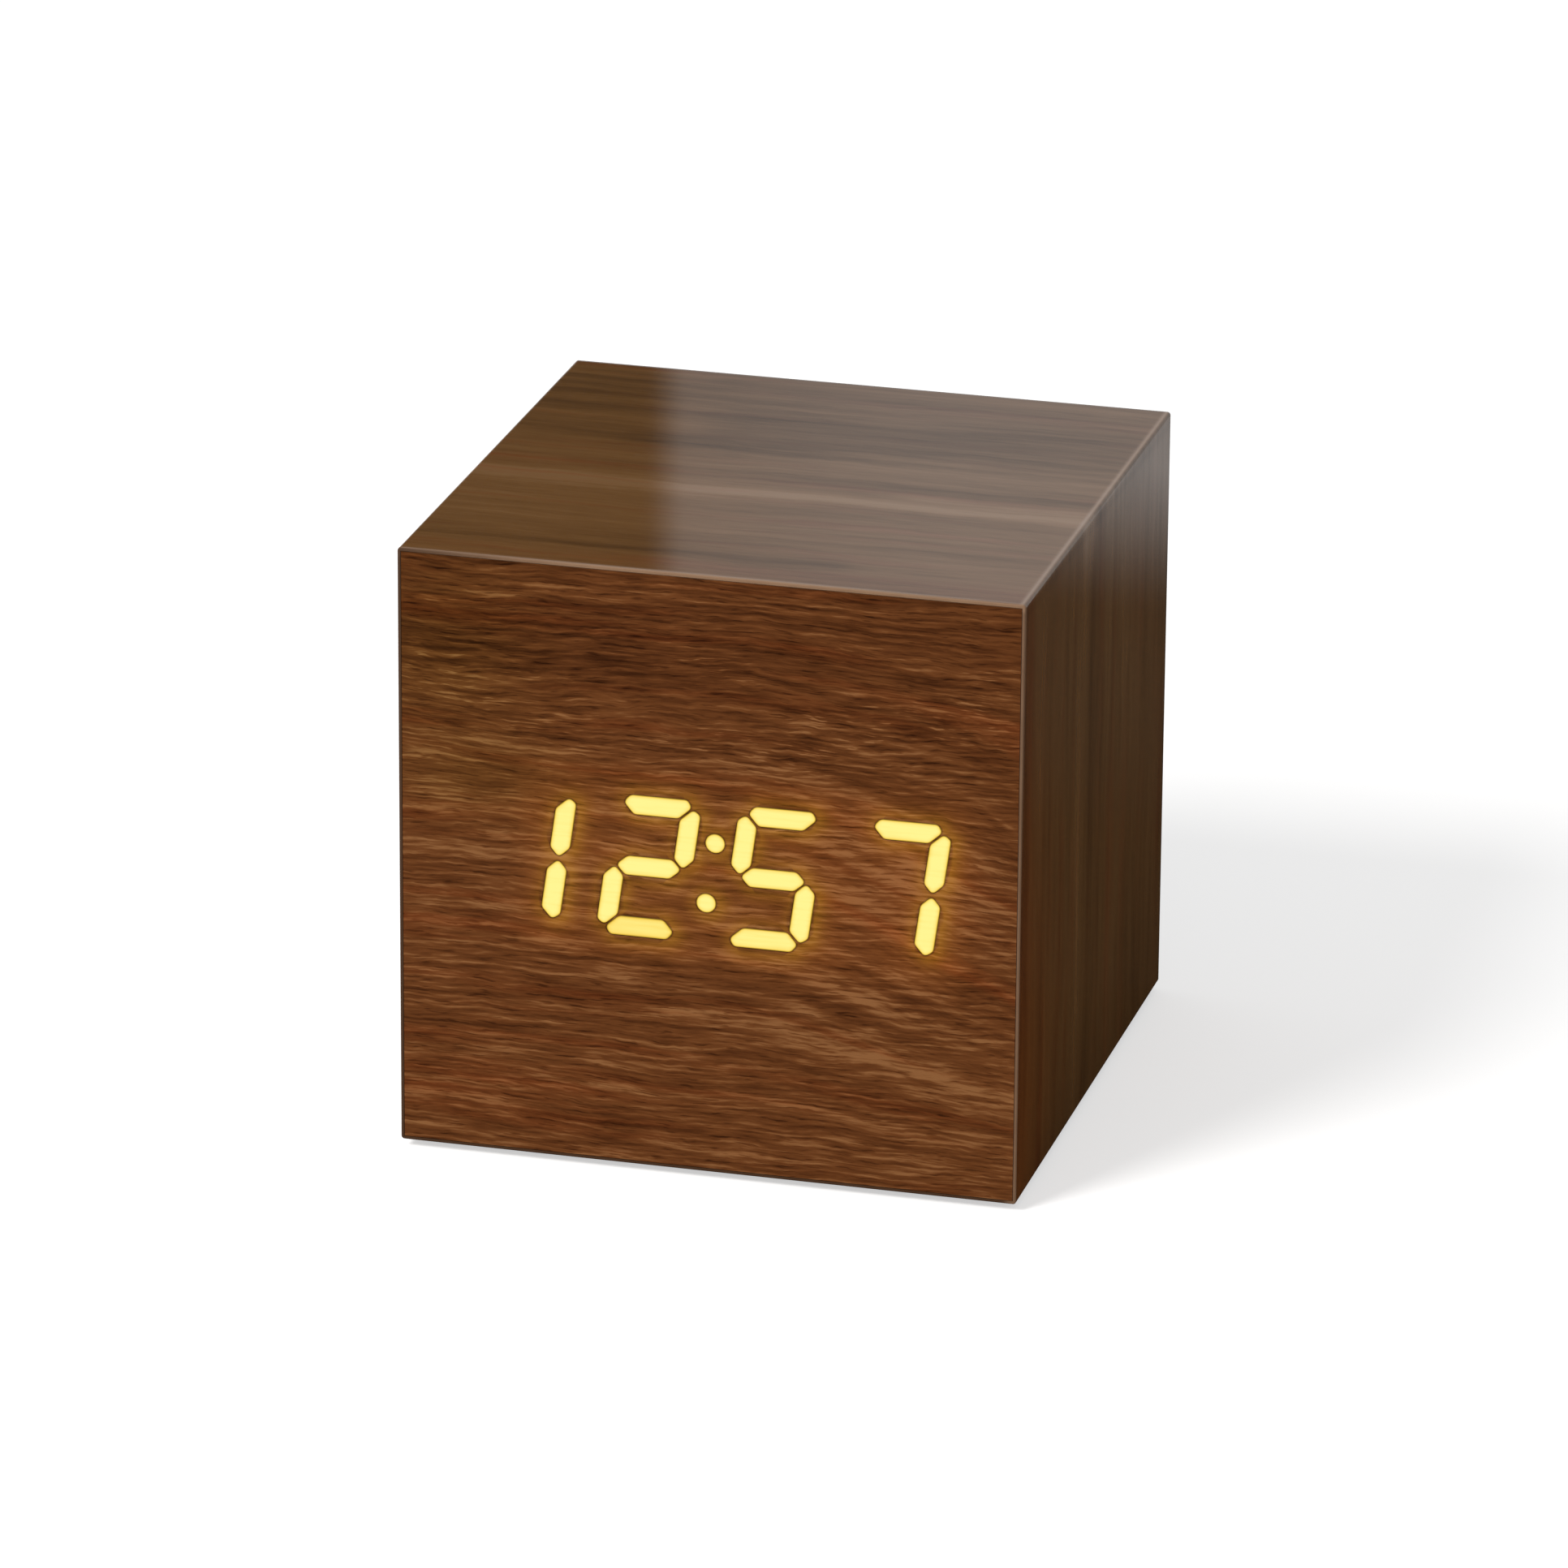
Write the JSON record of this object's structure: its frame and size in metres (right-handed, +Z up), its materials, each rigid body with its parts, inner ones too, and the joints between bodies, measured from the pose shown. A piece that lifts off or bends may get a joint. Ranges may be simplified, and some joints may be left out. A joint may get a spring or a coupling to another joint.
{
  "type": "digital alarm clock",
  "caption": "Cube-shaped alarm clock with wood-grain case, lit seven-bar digits on its front, and a recessed rear panel with battery door, buttons and power socket.",
  "frame": {"origin": "under the feet, at the centre of the clock's footprint", "axes": "+Z up, -Y out of the front with the digits, +X to the right as seen from the front"},
  "size_m": [0.06, 0.06, 0.06],
  "materials": {
    "grain_film": "dark walnut pattern, embossed along the grain, low sheen",
    "fibreboard": "raw pressed fibre, matt",
    "foot_rubber": "matt",
    "display_light": "translucent, lit from behind",
    "white_plastic": "moulded, satin",
    "circuit_board": "green solder mask over glass fibre",
    "chip_plastic": "moulded, matt",
    "steel": "nickel plated",
    "spring_steel": "bright plated",
    "panel_plastic": "moulded with a fine spark texture",
    "button_plastic": "moulded, satin",
    "cell_wrap": "printed sleeve, plain",
    "red_wire": "smooth sleeve",
    "black_wire": "smooth sleeve",
    "ribbon_wire": "flat ribbed sleeve"
  },
  "bodies": {
    "case": {"grain_film_wrap": "grain_film", "front_film": "grain_film", "case_top_board": "fibreboard", "case_right_board": "fibreboard", "case_bottom_board": "fibreboard", "case_left_board": "fibreboard", "case_front_board": "fibreboard", "corner_block_1": "fibreboard", "corner_block_2": "fibreboard", "corner_block_3": "fibreboard", "corner_block_4": "fibreboard", "foot_1": "foot_rubber", "foot_2": "foot_rubber", "foot_3": "foot_rubber", "foot_4": "foot_rubber", "display_lens": "display_light", "display_reflector": "white_plastic", "display_header": "white_plastic", "key_header": "white_plastic", "led_board": "circuit_board", "key_board": "circuit_board", "clock_chip": "chip_plastic", "switch_body_1": "chip_plastic", "switch_body_2": "chip_plastic", "switch_body_3": "chip_plastic", "display_screw_1": "steel", "display_screw_2": "steel", "display_screw_3": "steel", "display_screw_4": "steel", "crystal": "steel", "key_board_screw_1": "steel", "key_board_screw_2": "steel", "rear_panel_screw_1": "steel", "rear_panel_screw_2": "steel", "rear_panel_screw_3": "steel", "rear_panel_screw_4": "steel", "power_socket_pin": "steel", "battery_spring_1": "spring_steel", "battery_spring_2": "spring_steel", "battery_spring_3": "spring_steel", "positive_contact": "spring_steel", "left_link_contact": "spring_steel", "right_link_contact": "spring_steel", "negative_contact": "spring_steel", "rear_panel": "panel_plastic", "power_socket": "panel_plastic", "buzzer": "panel_plastic", "battery_cell_1": "cell_wrap", "battery_cell_2": "cell_wrap", "battery_cell_3": "cell_wrap", "battery_wire_red": "red_wire", "battery_wire_black": "black_wire", "ribbon_cable": "ribbon_wire"},
    "door": {"battery_door": "panel_plastic"},
    "set_key": {"button_set": "button_plastic", "switch_stem_1": "white_plastic"},
    "up_key": {"button_up": "button_plastic", "switch_stem_2": "white_plastic"},
    "down_key": {"button_down": "button_plastic", "switch_stem_3": "white_plastic"}
  },
  "joints": [
    {"name": "door_swing", "type": "hinge", "parent": "case", "child": "door", "pos_m": [0, 0.0292, 0.01225], "axis": [-1, 0, 0], "range_deg": [0, 75]},
    {"name": "set_press", "type": "slide", "parent": "case", "child": "set_key", "axis": [0, -1, 0], "range_m": [0, 0.0005], "stiffness_N_per_m": 400, "springref_m": -0.001},
    {"name": "up_press", "type": "slide", "parent": "case", "child": "up_key", "axis": [0, -1, 0], "range_m": [0, 0.0005], "stiffness_N_per_m": 400, "springref_m": -0.001},
    {"name": "down_press", "type": "slide", "parent": "case", "child": "down_key", "axis": [0, -1, 0], "range_m": [0, 0.0005], "stiffness_N_per_m": 400, "springref_m": -0.001}
  ]
}
